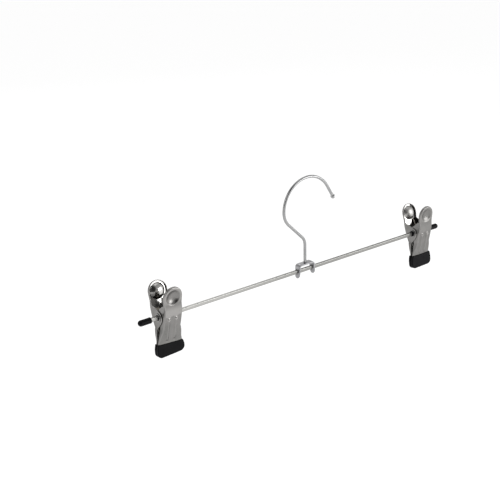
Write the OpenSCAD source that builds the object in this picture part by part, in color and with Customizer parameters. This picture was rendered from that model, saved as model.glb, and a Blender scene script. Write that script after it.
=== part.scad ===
// Skirt hanger: swivel wire hook, flat bar, two sliding spring clips.
// Millimetres, +Z up, +X along the bar, -Y towards the front jaws.
// The origin is the highest point inside the hook's loop, where a rail carries it.

/* [Bar] */
// Overall length over both end caps
total_l = 310; // [290:1:340]
// Height of the bar's rectangular section
bar_h = 3.2; // [3.0:0.1:3.3]
// Thickness of the bar's rectangular section
bar_t = 2.2; // [2.0:0.1:2.3]
// Radius of the bar's long edges
bar_edge_r = 0.5; // [0.3:0.05:0.6]
// Diameter of an end cap
cap_d = 4.6; // [4.4:0.1:5.2]
// Length of an end cap
cap_l = 10.3; // [8:0.1:11]

/* [Yoke] */
// Distance over the outer faces of the yoke's ears
yoke_span = 16.6; // [16:0.2:18]
// Width of the yoke's strip along Y
yoke_w = 5.6; // [5.2:0.1:6.5]
// Thickness of the yoke's strip
yoke_t = 1.2; // [1.0:0.1:1.4]
// Height of the yoke's top face above the bar's axis
yoke_top = 5.8; // [5.6:0.1:7]
// Depth of the ear tips below the bar's axis
yoke_drop = 5.4; // [4.8:0.1:6]
// Outer bend radius of the yoke's shoulders
yoke_bend_r = 3.0; // [2:0.1:3.5]

/* [Hook] */
// Diameter of the hook's wire
hook_d = 2.4; // [2.2:0.1:2.8]
// Centreline radius of the hook's loop
loop_r = 24; // [23:0.5:26]
// Distance of the loop's centre from the swivel axis
loop_x = 3; // [2:0.5:4]
// Height of the loop's centre above the bar's axis
loop_z = 51; // [50:0.5:54]
// Angle of the slanted run between stem and loop, from the vertical
slant = 46; // [44:1:48]
// Centreline radius of the bend below the loop
bend_upper_r = 14.5; // [13:0.5:16]
// Centreline radius of the bend above the stem
bend_lower_r = 9; // [8:0.5:10]
// Angle where the loop ends and the straight tip begins, from +X
tip_angle = 32; // [24:1:36]
// Length of the straight tip
tip_l = 11.5; // [9:0.5:12.5]
// Diameter of the ball on the tip
ball_d = 3.8; // [3.4:0.1:4.4]

/* [Clips] */
// Position of the left clip's middle along the bar
left_x = -131; // [-132:1:-60]
// Position of the right clip's middle along the bar
right_x = 131; // [60:1:132]
// Angle by which the left clip hangs swung towards the front
left_swing = 3; // [0:0.5:15]
// Angle by which the right clip hangs swung towards the front
right_swing = 6.5; // [0:0.5:15]
// Thickness of the jaw sheet
sheet = 0.7; // [0.6:0.05:0.75]
// Radius of the thumb disc
disc_r = 7.9; // [7.6:0.1:8.2]
// Opening radius of the thumb dimple
dimple_r = 5.7; // [5.4:0.1:6.2]
// Depth of the thumb dimple
dimple_depth = 2.8; // [2.4:0.1:3.2]
// Depth of the rim round the thumb disc
lip = 1.7; // [1.4:0.1:2.2]
// Half width of the jaw where the sheet enters the pad
flare_w = 10.0; // [9.4:0.1:10.2]
// Half width of a pad
pad_hw = 11.1; // [10.9:0.1:11.4]
// Spacing of the two stiffening beads
bead_gap = 6.1; // [5.4:0.1:6.8]
// Outer radius of the pivot sleeve
sleeve_r = 2.5; // [2.45:0.05:2.6]
// Wire diameter of the clip spring
spring_d = 1.0; // [0.8:0.1:1.1]
// Full turns in the spring's coil
spring_turns = 5; // [4:1:5]

/* [Hidden] */
$fn = 48;
half_l = total_l / 2;
wire_r = hook_d / 2;
top_z = loop_z + loop_r - wire_r;        // height of the loop's inner top above the bar's axis
fit = 0.05;                              // running clearance of sliding and turning fits
slot_z = bar_h / 2 - 0.15;               // half length of the flat sides of the yoke's slots
// jaw profile, front jaw, seen along X: outer face at four heights
tip_y = -1.6;   tip_z = -30.3;           // end of the sheet inside the pad
grip_y = -1.8;  grip_z = -19.1;          // where the sheet enters the pad
mid_y = -7.95;  mid_z = 1.6;             // bend beside the pivot
lean = 10.5;                             // outward lean of the upper half
low_a = atan((grip_y - mid_y) / (mid_z - grip_z));
tip_a = atan((tip_y - grip_y) / (grip_z - tip_z));
up_y = mid_y * cos(lean) + mid_z * sin(lean);   // outer face in the leaning frame
bend_z = mid_z * cos(lean) - mid_y * sin(lean); // bend in the leaning frame
disc_z = 17.5;                           // disc centre in the leaning frame
neck_in = 6.65;                          // outer face of the ear that lies inside
neck_out = 7.5;                          // outer face of the ear that lies outside
ear_gap = 0.1;
edge_y = -0.55;                          // free edge of the side walls
flare_z = -8.5;                          // the side walls start to spread here
sphere_r = (dimple_r * dimple_r + dimple_depth * dimple_depth) / (2 * dimple_depth);
bush_r = 2.15;
coil_r = 3.3;
steel = [0.72, 0.72, 0.72];
nickel = [0.62, 0.61, 0.59];
dull = [0.45, 0.45, 0.46];
black = [0.06, 0.06, 0.07];

// Puts a piece drawn about the bar's axis into the part's frame
module place(x = 0) {
    translate([x - loop_x, 0, -top_z]) children();
}

// Outline of the bar in Y and Z, grown by g
module bar_section(g = 0) {
    a = bar_t / 2 + g;
    b = bar_h / 2 + g;
    r = bar_edge_r;
    square([2 * (a - r), 2 * b], center = true);
    square([2 * a, 2 * (b - r)], center = true);
    for (i = [-1, 1], j = [-1, 1]) translate([i * (a - r), j * (b - r)]) circle(r = r, $fn = 24);
}

// Extrudes a Y-Z outline along X, from x0 over length l
module along_x(x0, l) {
    translate([x0, 0, 0]) rotate([90, 0, 90]) linear_extrude(height = l) children();
}

// Extrudes an X-Z outline along Y, from y0 over length l
module along_y(y0, l) {
    translate([0, y0 + l, 0]) rotate([90, 0, 0]) linear_extrude(height = l) children();
}

module bar() color(steel) place() along_x(-half_l + 1.3, total_l - 2.6) bar_section();

// s is -1 for the left cap and 1 for the right one
module end_cap(s) color(black) place() difference() {
    union() {
        rotate([0, s * 90, 0]) translate([0, 0, half_l - cap_l]) cylinder(d = cap_d, h = cap_l - cap_d / 2);
        translate([s * (half_l - cap_d / 2), 0, 0]) sphere(d = cap_d);
    }
    along_x(-half_l + 1.3, total_l - 2.6) bar_section();
}

module yoke() color(dull) place() difference() {
    intersection() {
        along_y(-yoke_w / 2, yoke_w) difference() {
            yoke_outline(0);
            yoke_outline(yoke_t);
        }
        along_x(-yoke_span, 2 * yoke_span) {
            a = yoke_w / 2;
            polygon([[-a, 20], [-a, 3.2], [-0.84 * a, 0.2], [-0.65 * a, -yoke_drop + 0.65 * a],
                     [0.65 * a, -yoke_drop + 0.65 * a], [0.84 * a, 0.2], [a, 3.2], [a, 20]]);
            translate([0, -yoke_drop + 0.65 * a]) circle(r = 0.65 * a);
        }
    }
    // ear holes: tall slots with round ends, their flat sides on the bar
    along_x(-yoke_span, 2 * yoke_span) {
        square([bar_t, 2 * slot_z], center = true);
        for (i = [-1, 1]) translate([0, i * slot_z]) circle(d = bar_t);
    }
    cylinder(r = wire_r + 0.08, h = 20);
}

// Outline of the yoke in X and Z, inset by g
module yoke_outline(g) {
    a = yoke_span / 2 - g;
    t = yoke_top - g;
    r = yoke_bend_r - g;
    translate([-a, -20]) square([2 * a, 20 + t - r]);
    translate([-(a - r), 0]) square([2 * (a - r), t]);
    for (i = [-1, 1]) translate([i * (a - r), t - r]) circle(r = r);
}

// The wire's path is made of straight runs and arcs in the X-Z plane
p1 = [loop_x - loop_r + bend_upper_r - bend_upper_r * cos(slant), loop_z - bend_upper_r * sin(slant)];
p2x = -bend_lower_r + bend_lower_r * cos(slant);
run_l = (p2x - p1[0]) / sin(slant);
stem_z = p1[1] - run_l * cos(slant) - bend_lower_r * sin(slant);
tip_p = [loop_x + loop_r * cos(tip_angle), loop_z + loop_r * sin(tip_angle)];
tip_d = [sin(tip_angle), -cos(tip_angle)];

// Arc of wire about (cx, cz) in the X-Z plane, from angle a over sweep s
module wire_arc(cx, cz, r, a, s) {
    translate([cx, 0, cz]) rotate([90, 0, 0]) rotate([0, 0, a])
        rotate_extrude(angle = s, $fn = 96) translate([r, 0]) circle(r = wire_r, $fn = 32);
}

// Straight wire from (x, z), turned by a from upright about Y
module wire_run(x, z, a, l) {
    translate([x, 0, z]) rotate([0, a, 0]) cylinder(r = wire_r, h = l);
}

// Rounded knuckle where two lengths of wire meet
module knuckle(x, z) {
    translate([x, 0, z]) sphere(r = wire_r + 0.02);
}

module hook() color(steel) place() union() {
    head_top = yoke_top - yoke_t - 0.05;
    e = 0.1;                              // the lengths stop short inside the knuckles
    d1 = e / bend_lower_r * 180 / PI;
    d2 = e / bend_upper_r * 180 / PI;
    d3 = e / loop_r * 180 / PI;
    // head formed under the yoke
    translate([0, 0, head_top - 0.7]) cylinder(r = 2.1, h = 0.7);
    translate([0, 0, head_top - 1.4]) cylinder(r1 = 1.5, r2 = 2.1, h = 0.7);
    wire_run(0, head_top - 0.5, 0, stem_z - head_top + 0.5 - e);
    knuckle(0, stem_z);
    wire_arc(-bend_lower_r, stem_z, bend_lower_r, d1, slant - 2 * d1);
    knuckle(p2x, stem_z + bend_lower_r * sin(slant));
    wire_run(p2x - e * sin(slant), stem_z + bend_lower_r * sin(slant) + e * cos(slant), -slant, run_l - 2 * e);
    knuckle(p1[0], p1[1]);
    wire_arc(loop_x - loop_r + bend_upper_r, loop_z, bend_upper_r, 180 + d2, slant - 2 * d2);
    knuckle(loop_x - loop_r, loop_z);
    wire_arc(loop_x, loop_z, loop_r, tip_angle + d3, 180 - tip_angle - 2 * d3);
    knuckle(tip_p[0], tip_p[1]);
    wire_run(tip_p[0] + e * tip_d[0], tip_p[1] + e * tip_d[1], 180 - tip_angle, tip_l - e);
    translate([tip_p[0] + tip_d[0] * tip_l, 0, tip_p[1] + tip_d[1] * tip_l]) sphere(d = ball_d);
}

// ---- clip pieces, drawn about the pivot; front jaw towards -Y ----

// Frame of the leaning upper half of a jaw
module upper() rotate([lean, 0, 0]) children();

// Side wall with its pivot ear, on the left; w is the neck's half width, and the outer ear has a square shoulder
module side_wall(w, outer) {
    a = atan((flare_w - w) / (flare_z - grip_z));
    e = grip_z - 0.8;
    x = -w - (flare_z - e) * tan(a);
    intersection() {
        along_y(-20, 40) polygon([[-w, 14], [-w, flare_z], [x, e], [x + sheet / cos(a), e],
            [-w + sheet, flare_z - sheet * tan(a / 2)], [-w + sheet, 14]]);
        along_x(-20, 40) difference() {
            union() {
                polygon(concat([[mid_y - tan(lean) * (12.7 - mid_z) + 0.2, 12.7], [-9.0, 12.3]],
                    outer ? [[-7.7, 8.7], [-7.0, 7.9], [-2.6, 5.9], [0.3, 4.5], [1.7, 3.9], [3.6, 2.3], [3.6, -2.4],
                             [0.5, -6.6], [edge_y - 1, -8.6], [edge_y - 0.35, e]]
                          : [[-5.6, 9.6], [-3, 7.7], [0, 5.6], [2.2, 4.0], [3.6, 2.3], [3.6, -2.4],
                             [1.1, -6.6], [edge_y + 0.65, -8], [edge_y, e]],
                    [[grip_y + 0.2, e], [grip_y + 0.2, grip_z], [mid_y + 0.2, mid_z]]));
                circle(r = 4.2);
            }
            circle(r = sleeve_r + fit);
        }
    }
}

// Front view of the web below the bend, in X and Z; its edges lie inside the side walls
module lower_outline() {
    polygon([[-neck_in + 0.15, mid_z + 1], [-neck_in + 0.15, flare_z], [-flare_w + 0.15, grip_z], [-flare_w + 0.15, grip_z - 6],
             [-flare_w + 3, tip_z], [flare_w - 3, tip_z], [flare_w - 0.15, grip_z - 6], [flare_w - 0.15, grip_z],
             [neck_out - 0.15, flare_z], [neck_out - 0.15, mid_z + 1]]);
}

// Outline of the upper half in its leaning frame, from z0 up; g is the inset at the disc, n at the neck
module upper_outline(g, n, z0) {
    translate([0, disc_z]) circle(r = disc_r - g);
    polygon([[-neck_in + n, z0], [-neck_in + n, 9.9], [-disc_r + 0.25 + g, 14.5], [-disc_r + g, disc_z],
             [disc_r - g, disc_z], [disc_r - 0.1 - g, 14.5], [neck_out - n, 11], [neck_out - n, z0]]);
}

// Stiffening bead: a cylinder lying in the lower sheet, r about its axis, tapered over length t at the top
module bead(x, r, t) {
    l = (mid_z - grip_z) / cos(low_a) - 1.7;
    translate([x, grip_y, grip_z]) rotate([low_a, 0, 0]) translate([0, sheet, 0]) {
        cylinder(r = r, h = l - 2.6, $fn = 24);
        if (t > 0) translate([0, 0, l - 2.6]) cylinder(r1 = r, r2 = 0.3, h = t, $fn = 24);
    }
}

module jaw_sheet() {
    difference() {
        union() {
            // lower web and tip
            intersection() {
                along_x(-20, 40) polygon([[mid_y + 0.7 * tan(low_a), mid_z - 0.7], [grip_y, grip_z], [tip_y, tip_z],
                    [tip_y + sheet, tip_z], [grip_y + sheet, grip_z], [mid_y + sheet + 0.5 * tan(low_a), mid_z - 0.5],
                    [mid_y + sheet + 0.3, mid_z], [mid_y + sheet / 2, mid_z + 0.8]]);
                along_y(-12, 12) lower_outline();
            }
            // upper half: a shallow pan, its floor towards the outside
            upper() {
                difference() {
                    along_y(up_y, lip) upper_outline(0, 0.25, bend_z - 1);
                    along_y(up_y + sheet, lip) upper_outline(sheet, 0.55, bend_z - 4);
                }
                // dome on the inner side of the dimple
                intersection() {
                    translate([0, up_y + dimple_depth - sphere_r, disc_z]) sphere(r = sphere_r + sheet, $fn = 64);
                    translate([-10, up_y + 0.01, disc_z - 10]) cube([20, 10, 20]);
                }
            }
            side_wall(neck_in, false);
            mirror([1, 0, 0]) side_wall(neck_out, true);
            for (i = [-1, 1]) intersection() {
                bead(i * bead_gap / 2, 1.15, 2.6);
                translate([-15, -20, grip_z - 0.2]) cube([30, 20 + edge_y - 2, 40]);
            }
        }
        upper() translate([0, up_y + dimple_depth - sphere_r, disc_z]) sphere(r = sphere_r, $fn = 64);
        for (i = [-1, 1]) intersection() {
            bead(i * bead_gap / 2, 0.6, 0);
            translate([-15, -20, grip_z + 1]) cube([30, 20, 40]);
        }
    }
}

// Closed boot over the jaw's tip
module pad_body() {
    top = grip_z + 0.3;
    bottom = -31.0;
    intersection() {
        along_x(-20, 40) polygon([[grip_y - 0.5, top], [tip_y - 0.6, bottom + 1.6], [tip_y - 0.4, bottom + 0.5], [tip_y + 0.1, bottom],
            [-0.55, bottom], [-0.05, bottom + 0.5], [-0.05, -24.5], [-0.45, top]]);
        along_y(-8, 8) {
            translate([-pad_hw + 3.2, bottom]) square([2 * pad_hw - 6.4, 5]);
            translate([-pad_hw, bottom + 3.2]) square([2 * pad_hw, top - bottom - 4.2]);
            translate([-pad_hw + 1, top - 2]) square([2 * pad_hw - 2, 2]);
            for (i = [-1, 1]) {
                translate([i * (pad_hw - 3.2), bottom + 3.2]) circle(r = 3.2);
                translate([i * (pad_hw - 1), top - 1]) circle(r = 1);
            }
        }
    }
}

// A clip hangs swung by a about the bar's axis; turn is 0 for the front pieces and 180 for the back ones
module hung(x, a, turn = 0) {
    place(x) rotate([-a, 0, 0]) rotate([0, 0, turn]) children();
}

module jaw(x, a, turn) color(nickel) hung(x, a, turn) jaw_sheet();
module pad(x, a, turn) color(black) hung(x, a, turn) difference() { pad_body(); jaw_sheet(); }

// Metal sleeve through all four ears, with a rolled rim at each end
module pivot_sleeve(x) color(steel) place(x) rotate([0, 90, 0]) rotate_extrude() {
    h = neck_out + ear_gap;
    translate([bush_r, -h]) square([sleeve_r - bush_r, 2 * h]);
    for (i = [0, 1]) mirror([0, i]) {
        translate([bush_r, h]) square([0.85, 0.4]);
        translate([bush_r + 0.85, h + 0.2]) circle(r = 0.2, $fn = 16);
    }
}

// Sliding liner; s is the side that faces the yoke
module bush(x, s) color(black) place(x) difference() {
    h = neck_out + ear_gap;
    rotate([0, s * 90, 0]) {
        translate([0, 0, -h - 0.4]) cylinder(r = bush_r, h = 2 * h + 1.3);
        translate([0, 0, h + 0.4]) cylinder(r = 2.35, h = 0.9);
    }
    along_x(-20, 40) bar_section(fit);
}

// ---- spring: one wire, leg, coil, leg, computed along its path ----
leg_a = 24;
coil_hx = 3.0;
leg_l = 12.4;
coil_n = spring_turns * 14 + 5;
coil_sweep = spring_turns * 360 + 132;
function coil_pt(i) = let(a = 180 + leg_a + coil_sweep * i / coil_n)
    [-coil_hx + 2 * coil_hx * i / coil_n, coil_r * cos(a), coil_r * sin(a)];
function leg_end(s) = [s * coil_hx, s * (coil_r * cos(leg_a) + leg_l * sin(leg_a)), -coil_r * sin(leg_a) + leg_l * cos(leg_a)];
function leg_mid(s) = [s * coil_hx, s * (coil_r * cos(leg_a) + 1.5 * sin(leg_a)), -coil_r * sin(leg_a) + 1.5 * cos(leg_a)];
spring_path = concat([leg_end(-1), leg_mid(-1)], [for (i = [0:coil_n]) coil_pt(i)], [leg_mid(1), leg_end(1)]);
function unit(v) = v / norm(v);
function ring_pts(p, t) = let(u = unit([1, 0, 0] - t[0] * t), w = cross(t, u))
    [for (k = [0:7]) p + spring_d / 2 * (cos(45 * k) * u + sin(45 * k) * w)];
module spring(x, a) color(steel) hung(x, a) {
    n = len(spring_path);
    tang = [for (i = [0:n - 1]) unit(spring_path[min(i + 1, n - 1)] - spring_path[max(i - 1, 0)])];
    pts = [for (i = [0:n - 1]) each ring_pts(spring_path[i], tang[i])];
    polyhedron(points = pts, faces = concat(
        [[for (k = [0:7]) k]],
        [for (i = [0:n - 2], k = [0:7]) [i * 8 + k, (i + 1) * 8 + k, (i + 1) * 8 + (k + 1) % 8, i * 8 + (k + 1) % 8]],
        [[for (k = [0:7]) (n - 1) * 8 + 7 - k]]));
}

bar();
yoke();
hook();
end_cap(-1);  // left_end_cap
end_cap(1);  // right_end_cap
jaw(left_x, left_swing, 0);  // left_front_jaw
jaw(left_x, left_swing, 180);  // left_back_jaw
pad(left_x, left_swing, 0);  // left_front_pad
pad(left_x, left_swing, 180);  // left_back_pad
pivot_sleeve(left_x);  // left_pivot_sleeve
bush(left_x, 1);  // left_bush
spring(left_x, left_swing);  // left_spring
jaw(right_x, right_swing, 0);  // right_front_jaw
jaw(right_x, right_swing, 180);  // right_back_jaw
pad(right_x, right_swing, 0);  // right_front_pad
pad(right_x, right_swing, 180);  // right_back_pad
pivot_sleeve(right_x);  // right_pivot_sleeve
bush(right_x, -1);  // right_bush
spring(right_x, right_swing);  // right_spring
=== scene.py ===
import bpy, bmesh, math
import numpy as np
from mathutils import Vector, Matrix


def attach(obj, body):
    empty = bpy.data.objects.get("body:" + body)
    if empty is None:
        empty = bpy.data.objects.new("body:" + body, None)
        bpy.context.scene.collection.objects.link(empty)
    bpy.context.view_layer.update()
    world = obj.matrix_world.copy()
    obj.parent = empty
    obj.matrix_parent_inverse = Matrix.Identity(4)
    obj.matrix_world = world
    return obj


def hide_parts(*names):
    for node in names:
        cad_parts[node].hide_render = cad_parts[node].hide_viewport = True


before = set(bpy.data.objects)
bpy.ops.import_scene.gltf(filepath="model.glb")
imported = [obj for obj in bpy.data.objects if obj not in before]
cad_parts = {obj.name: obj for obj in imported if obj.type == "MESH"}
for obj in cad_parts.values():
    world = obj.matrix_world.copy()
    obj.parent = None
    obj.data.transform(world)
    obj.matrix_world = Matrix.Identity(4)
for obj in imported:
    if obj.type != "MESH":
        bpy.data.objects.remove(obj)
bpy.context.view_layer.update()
scene = bpy.context.scene

# ------------------------------------------------------------------ camera
AZ, EL, ROLL = math.radians(-37.9158), math.radians(20.5819), math.radians(-1.5166)
back = Vector((math.sin(AZ) * math.cos(EL), -math.cos(AZ) * math.cos(EL), math.sin(EL)))
fwd = -back
right = fwd.cross(Vector((0, 0, 1))).normalized()
up = right.cross(fwd)
r2 = right * math.cos(ROLL) + up * math.sin(ROLL)
u2 = -right * math.sin(ROLL) + up * math.cos(ROLL)
cam = bpy.data.cameras.new("camera")
cam.sensor_fit = "HORIZONTAL"
cam.sensor_width = 36.0
cam.lens = 961.2 / 500 * 36
cam.clip_start = 0.01
cam.clip_end = 50
cam_obj = bpy.data.objects.new("camera", cam)
scene.collection.objects.link(cam_obj)
m = Matrix((r2, u2, back)).transposed().to_4x4()
m.translation = Vector((-0.46980, -0.52931, 0.20805))
cam_obj.matrix_world = m
scene.camera = cam_obj

# ------------------------------------------------------------------ the part's dimensions, in mm, about the bar's axis
ORIGIN = np.array([-3.0, 0.0, -73.8])
HALF_L, CAP_L, CAP_R = 155.0, 10.3, 2.3
BAR_H, BAR_T = 3.2, 2.2
WIRE_R, LOOP_R, LOOP_X, LOOP_Z = 1.197, 24.0, 3.0, 51.0
SLANT, BEND_UP, BEND_LOW, TIP_A, TIP_L, BALL_R = math.radians(46), 14.5, 9.0, math.radians(32), 11.5, 1.9
CLIPS = {"left": (-131.0, 3.0), "right": (131.0, 6.5)}
MID, GRIP, TIP = (-7.95, 1.6), (-1.8, -19.1), (-1.6, -30.3)
LEAN = math.radians(10.5)
UP_Y = MID[0] * math.cos(LEAN) + MID[1] * math.sin(LEAN)
BEND_Z = MID[1] * math.cos(LEAN) - MID[0] * math.sin(LEAN)
DISC_R, DIMPLE_R, DIMPLE_D, LIP = 7.9, 5.75, 2.6, 1.7
NECK_IN, NECK_OUT, FLARE = 6.65, 7.5, 10.0
SHEET = 0.64
SLEEVE_R, BUSH_R = 2.5, 2.15
PAD_HW, PAD_TOP, PAD_BOTTOM = 11.1, -18.8, -31.0


def rot_x(a):
    c, s = math.cos(a), math.sin(a)
    return np.array([[1, 0, 0], [0, c, -s], [0, s, c]])


def rot_z(a):
    c, s = math.cos(a), math.sin(a)
    return np.array([[c, -s, 0], [s, c, 0], [0, 0, 1]])


def place(v, x=0.0):
    return np.asarray(v, float) + np.array([x, 0, 0]) + ORIGIN


def hung(v, x, swing, turn=0):
    """From the pivot's own frame to the part's frame: turned, swung towards the front, moved along the bar."""
    r = rot_x(-math.radians(swing)) @ rot_z(math.radians(turn))
    return np.asarray(v, float) @ r.T + np.array([x, 0, 0]) + ORIGIN


def smooth(t):
    t = np.clip(t, 0, 1)
    return t * t * (3 - 2 * t)


# ------------------------------------------------------------------ mesh helpers
def mesh_object(name, v, f, sharp=None, attrs=None):
    me = bpy.data.meshes.new(name)
    me.from_pydata((np.asarray(v) * 0.001).tolist(), [], [list(map(int, q)) for q in f])
    for key, values in (attrs or {}).items():
        a = me.attributes.new(key, "FLOAT", "POINT")
        a.data.foreach_set("value", np.asarray(values, np.float32))
    me.validate()
    me.update()
    for p in me.polygons:
        p.use_smooth = True
    if sharp:
        me.set_sharp_from_angle(angle=math.radians(sharp))
    o = bpy.data.objects.new(name, me)
    scene.collection.objects.link(o)
    return o


def finish_piece(o, mat, body, nodes):
    o.data.materials.clear()
    o.data.materials.append(mat)
    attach(o, body)
    if nodes:
        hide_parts(*nodes)
    return o


def cut(o, cutters, sharp=35):
    """Cuts closed meshes out of o, and takes them away again."""
    for c in cutters:
        md = o.modifiers.new("cut", "BOOLEAN")
        md.operation = "DIFFERENCE"
        md.solver = "EXACT"
        md.object = c
    bpy.context.view_layer.update()
    dg = bpy.context.evaluated_depsgraph_get()
    me = bpy.data.meshes.new_from_object(o.evaluated_get(dg), preserve_all_data_layers=True, depsgraph=dg)
    o.modifiers.clear()
    old = o.data
    o.data = me
    bpy.data.meshes.remove(old)
    for p in me.polygons:
        p.use_smooth = True
    if sharp:
        me.set_sharp_from_angle(angle=math.radians(sharp))
    for c in cutters:
        d = c.data
        bpy.data.objects.remove(c)
        bpy.data.meshes.remove(d)
    return o


def ring_faces(rings, n, closed_ring=True, start=0, wrap=False):
    """Quads between successive rings of n points."""
    f = []
    last = rings if wrap else rings - 1
    for i in range(last):
        a, b = start + i * n, start + ((i + 1) % rings) * n
        for k in range(n if closed_ring else n - 1):
            k2 = (k + 1) % n
            f.append((a + k, a + k2, b + k2, b + k))
    return f


def tube(points, radii, up_vec=(0, 1, 0), n=24, cap=True):
    """A round rod swept along points. up_vec stays one side of the section's frame where it can."""
    p = np.asarray(points, float)
    r = np.broadcast_to(np.asarray(radii, float), (len(p),))
    t = np.gradient(p, axis=0)
    t /= np.linalg.norm(t, axis=1)[:, None]
    a = np.cross(np.asarray(up_vec, float), t)
    a /= np.linalg.norm(a, axis=1)[:, None]
    b = np.cross(t, a)
    ang = np.linspace(0, 2 * np.pi, n, endpoint=False)
    v = (p[:, None, :] + r[:, None, None] * (np.cos(ang)[None, :, None] * a[:, None, :] + np.sin(ang)[None, :, None] * b[:, None, :])).reshape(-1, 3)
    f = ring_faces(len(p), n)
    if cap:
        f.append(tuple(range(n - 1, -1, -1)))
        f.append(tuple(range((len(p) - 1) * n, len(p) * n)))
    return v, f


def lathe_x(profile, n=48, close=False):
    """Turns (x, r) points about the X axis. With close, the profile is a loop."""
    pr = np.asarray(profile, float)
    ang = np.linspace(0, 2 * np.pi, n, endpoint=False)
    v = np.stack([np.repeat(pr[:, 0], n), (pr[:, 1][:, None] * np.cos(ang)).ravel(), (pr[:, 1][:, None] * np.sin(ang)).ravel()], 1)
    f = ring_faces(len(pr), n, wrap=close)
    if not close:
        f.append(tuple(range(n - 1, -1, -1)))
        f.append(tuple(range((len(pr) - 1) * n, len(pr) * n)))
    return v, f


def outward(v, f):
    """Turns all faces round if the closed mesh is inside out."""
    v = np.asarray(v, float)
    vol = 0.0
    for q in f:
        for k in range(1, len(q) - 1):
            vol += np.dot(v[q[0]], np.cross(v[q[k]], v[q[k + 1]]))
    return f if vol > 0 else [tuple(reversed(q)) for q in f]


def thicken(v, quads, t, seg=4):
    """A pressed sheet: outer surface, inner surface t below it and a rounded edge all the way round."""
    v = np.asarray(v, float)
    q = np.asarray(quads)
    n = np.zeros_like(v)
    fn = np.cross(v[q[:, 2]] - v[q[:, 0]], v[q[:, 3]] - v[q[:, 1]])
    for k in range(4):
        np.add.at(n, q[:, k], fn)
    n /= np.linalg.norm(n, axis=1)[:, None]
    inner = v - t * n
    edges = {}
    for face in quads:
        for k in range(4):
            a, b = face[k], face[(k + 1) % 4]
            edges[(a, b)] = edges.get((a, b), 0) + 1
    rim = [(a, b) for (a, b) in edges if (b, a) not in edges]
    e = {}
    for a, b in rim:
        d = v[b] - v[a]
        for i in (a, b):
            out = np.cross(d, n[i])
            e[i] = e.get(i, 0) + out / (np.linalg.norm(out) + 1e-9)
    idx = sorted(e)
    where = {i: k for k, i in enumerate(idx)}
    ev = np.array([e[i] - np.dot(e[i], n[i]) * n[i] for i in idx])
    ev /= np.linalg.norm(ev, axis=1)[:, None]
    nv = n[idx]
    c = v[idx] - t / 2 * nv
    layers, count, base = [], len(v), len(v) * 2
    for k in range(1, seg):
        th = math.pi * k / seg
        layers.append(c + t / 2 * (math.cos(th) * nv + math.sin(th) * ev))
    faces = [tuple(x) for x in quads] + [tuple(count + i for i in reversed(x)) for x in quads]

    def ring(i, k):
        if k == 0:
            return i
        if k == seg:
            return count + i
        return base + (k - 1) * len(idx) + where[i]
    for a, b in rim:
        for k in range(seg):
            faces.append((ring(b, k), ring(a, k), ring(a, k + 1), ring(b, k + 1)))
    return np.vstack([v, inner] + layers), faces, n, idx


# ------------------------------------------------------------------ materials
def principled(name, base, rough, metallic=0.0, **sockets):
    mt = bpy.data.materials.new(name)
    mt.use_nodes = True
    nt = mt.node_tree
    b = nt.nodes["Principled BSDF"]
    b.inputs["Base Color"].default_value = (*base, 1)
    b.inputs["Roughness"].default_value = rough
    b.inputs["Metallic"].default_value = metallic
    for k, val in sockets.items():
        b.inputs[k.replace("_", " ")].default_value = val
    return mt, nt, b


def node(nt, kind, **props):
    n = nt.nodes.new(kind)
    for k, val in props.items():
        setattr(n, k, val)
    return n


def ramp(nt, source, stops):
    """Colour ramp; stops are (position, colour or grey)."""
    r = node(nt, "ShaderNodeValToRGB")
    el = r.color_ramp.elements
    while len(el) < len(stops):
        el.new(0.5)
    for e_, (p, c) in zip(el, stops):
        e_.position = p
        e_.color = (*c, 1) if hasattr(c, "__len__") else (c, c, c, 1)
    nt.links.new(source, r.inputs["Fac"])
    return r.outputs["Color"]


def noise(nt, vec, scale, detail=4.0, rough=0.55, dist=0.0):
    n = node(nt, "ShaderNodeTexNoise")
    n.inputs["Scale"].default_value = scale
    n.inputs["Detail"].default_value = detail
    n.inputs["Roughness"].default_value = rough
    n.inputs["Distortion"].default_value = dist
    nt.links.new(vec, n.inputs["Vector"])
    return n.outputs["Fac"]


def mapping(nt, scale=(1, 1, 1), rotation=(0, 0, 0)):
    tc = node(nt, "ShaderNodeTexCoord")
    mp = node(nt, "ShaderNodeMapping")
    mp.inputs["Scale"].default_value = scale
    mp.inputs["Rotation"].default_value = rotation
    nt.links.new(tc.outputs["Object"], mp.inputs["Vector"])
    return mp.outputs["Vector"]


def math_node(nt, op, a, b):
    n = node(nt, "ShaderNodeMath", operation=op)
    for i, x in enumerate((a, b)):
        if isinstance(x, (int, float)):
            n.inputs[i].default_value = x
        else:
            nt.links.new(x, n.inputs[i])
    return n.outputs[0]


def mix(nt, fac, a, b, mode="MIX"):
    n = node(nt, "ShaderNodeMix", data_type="RGBA", blend_type=mode)
    for sock, x in ((n.inputs[0], fac), (n.inputs[6], a), (n.inputs[7], b)):
        if isinstance(x, (int, float)):
            sock.default_value = x
        elif isinstance(x, tuple):
            sock.default_value = (*x, 1)
        else:
            nt.links.new(x, sock)
    return n.outputs[2]


def bump(nt, b, height, distance, strength=1.0, prev=None):
    n = node(nt, "ShaderNodeBump")
    n.inputs["Strength"].default_value = strength
    n.inputs["Distance"].default_value = distance
    nt.links.new(height, n.inputs["Height"])
    if prev is not None:
        nt.links.new(prev, n.inputs["Normal"])
    nt.links.new(n.outputs["Normal"], b.inputs["Normal"])
    return n.outputs["Normal"]


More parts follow.
